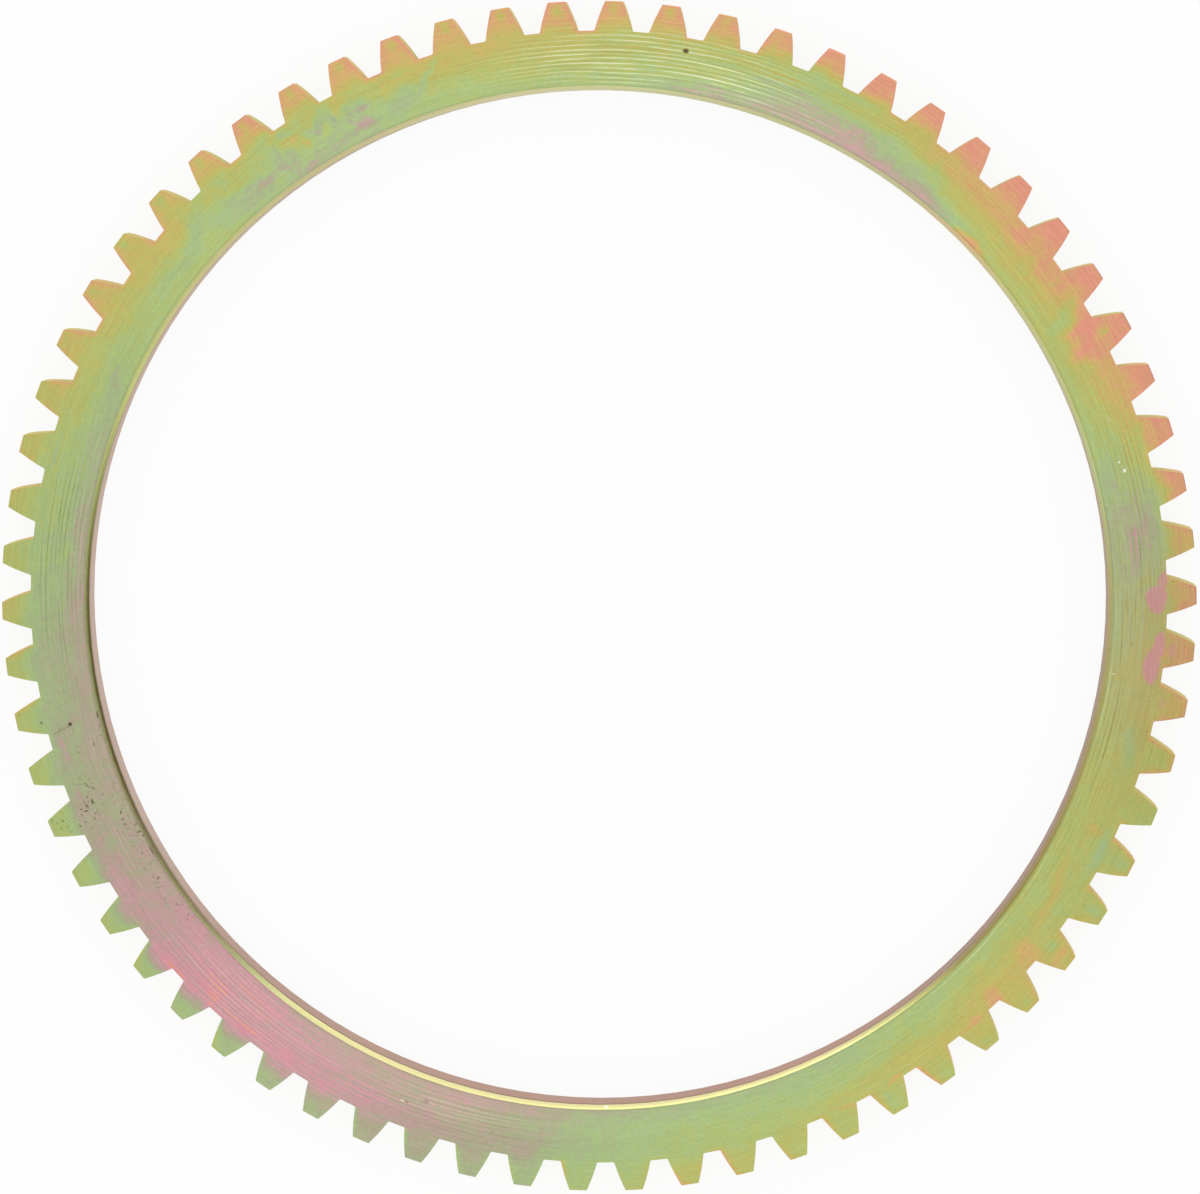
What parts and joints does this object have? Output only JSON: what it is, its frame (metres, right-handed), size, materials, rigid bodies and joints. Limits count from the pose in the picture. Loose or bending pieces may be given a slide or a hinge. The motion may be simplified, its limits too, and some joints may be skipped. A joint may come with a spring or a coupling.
{
  "type": "starter ring gear",
  "caption": "Flat steel ring with straight stub teeth round its outside and a plain bevelled bore; shrunk onto a flywheel or clutch shell for a starter pinion to turn.",
  "frame": {"origin": "on the bore axis in the rear face, on which the ring lies", "axes": "+Z along the bore axis, out of the front face; +X through the middle of one tooth"},
  "size_m": [0.2146, 0.2146, 0.0075],
  "materials": {
    "plated_steel": "yellow passivated zinc plating over turned steel, satin, with green, orange and pink tints"
  },
  "bodies": {
    "root": {"ring_gear": "plated_steel"}
  },
  "joints": []
}
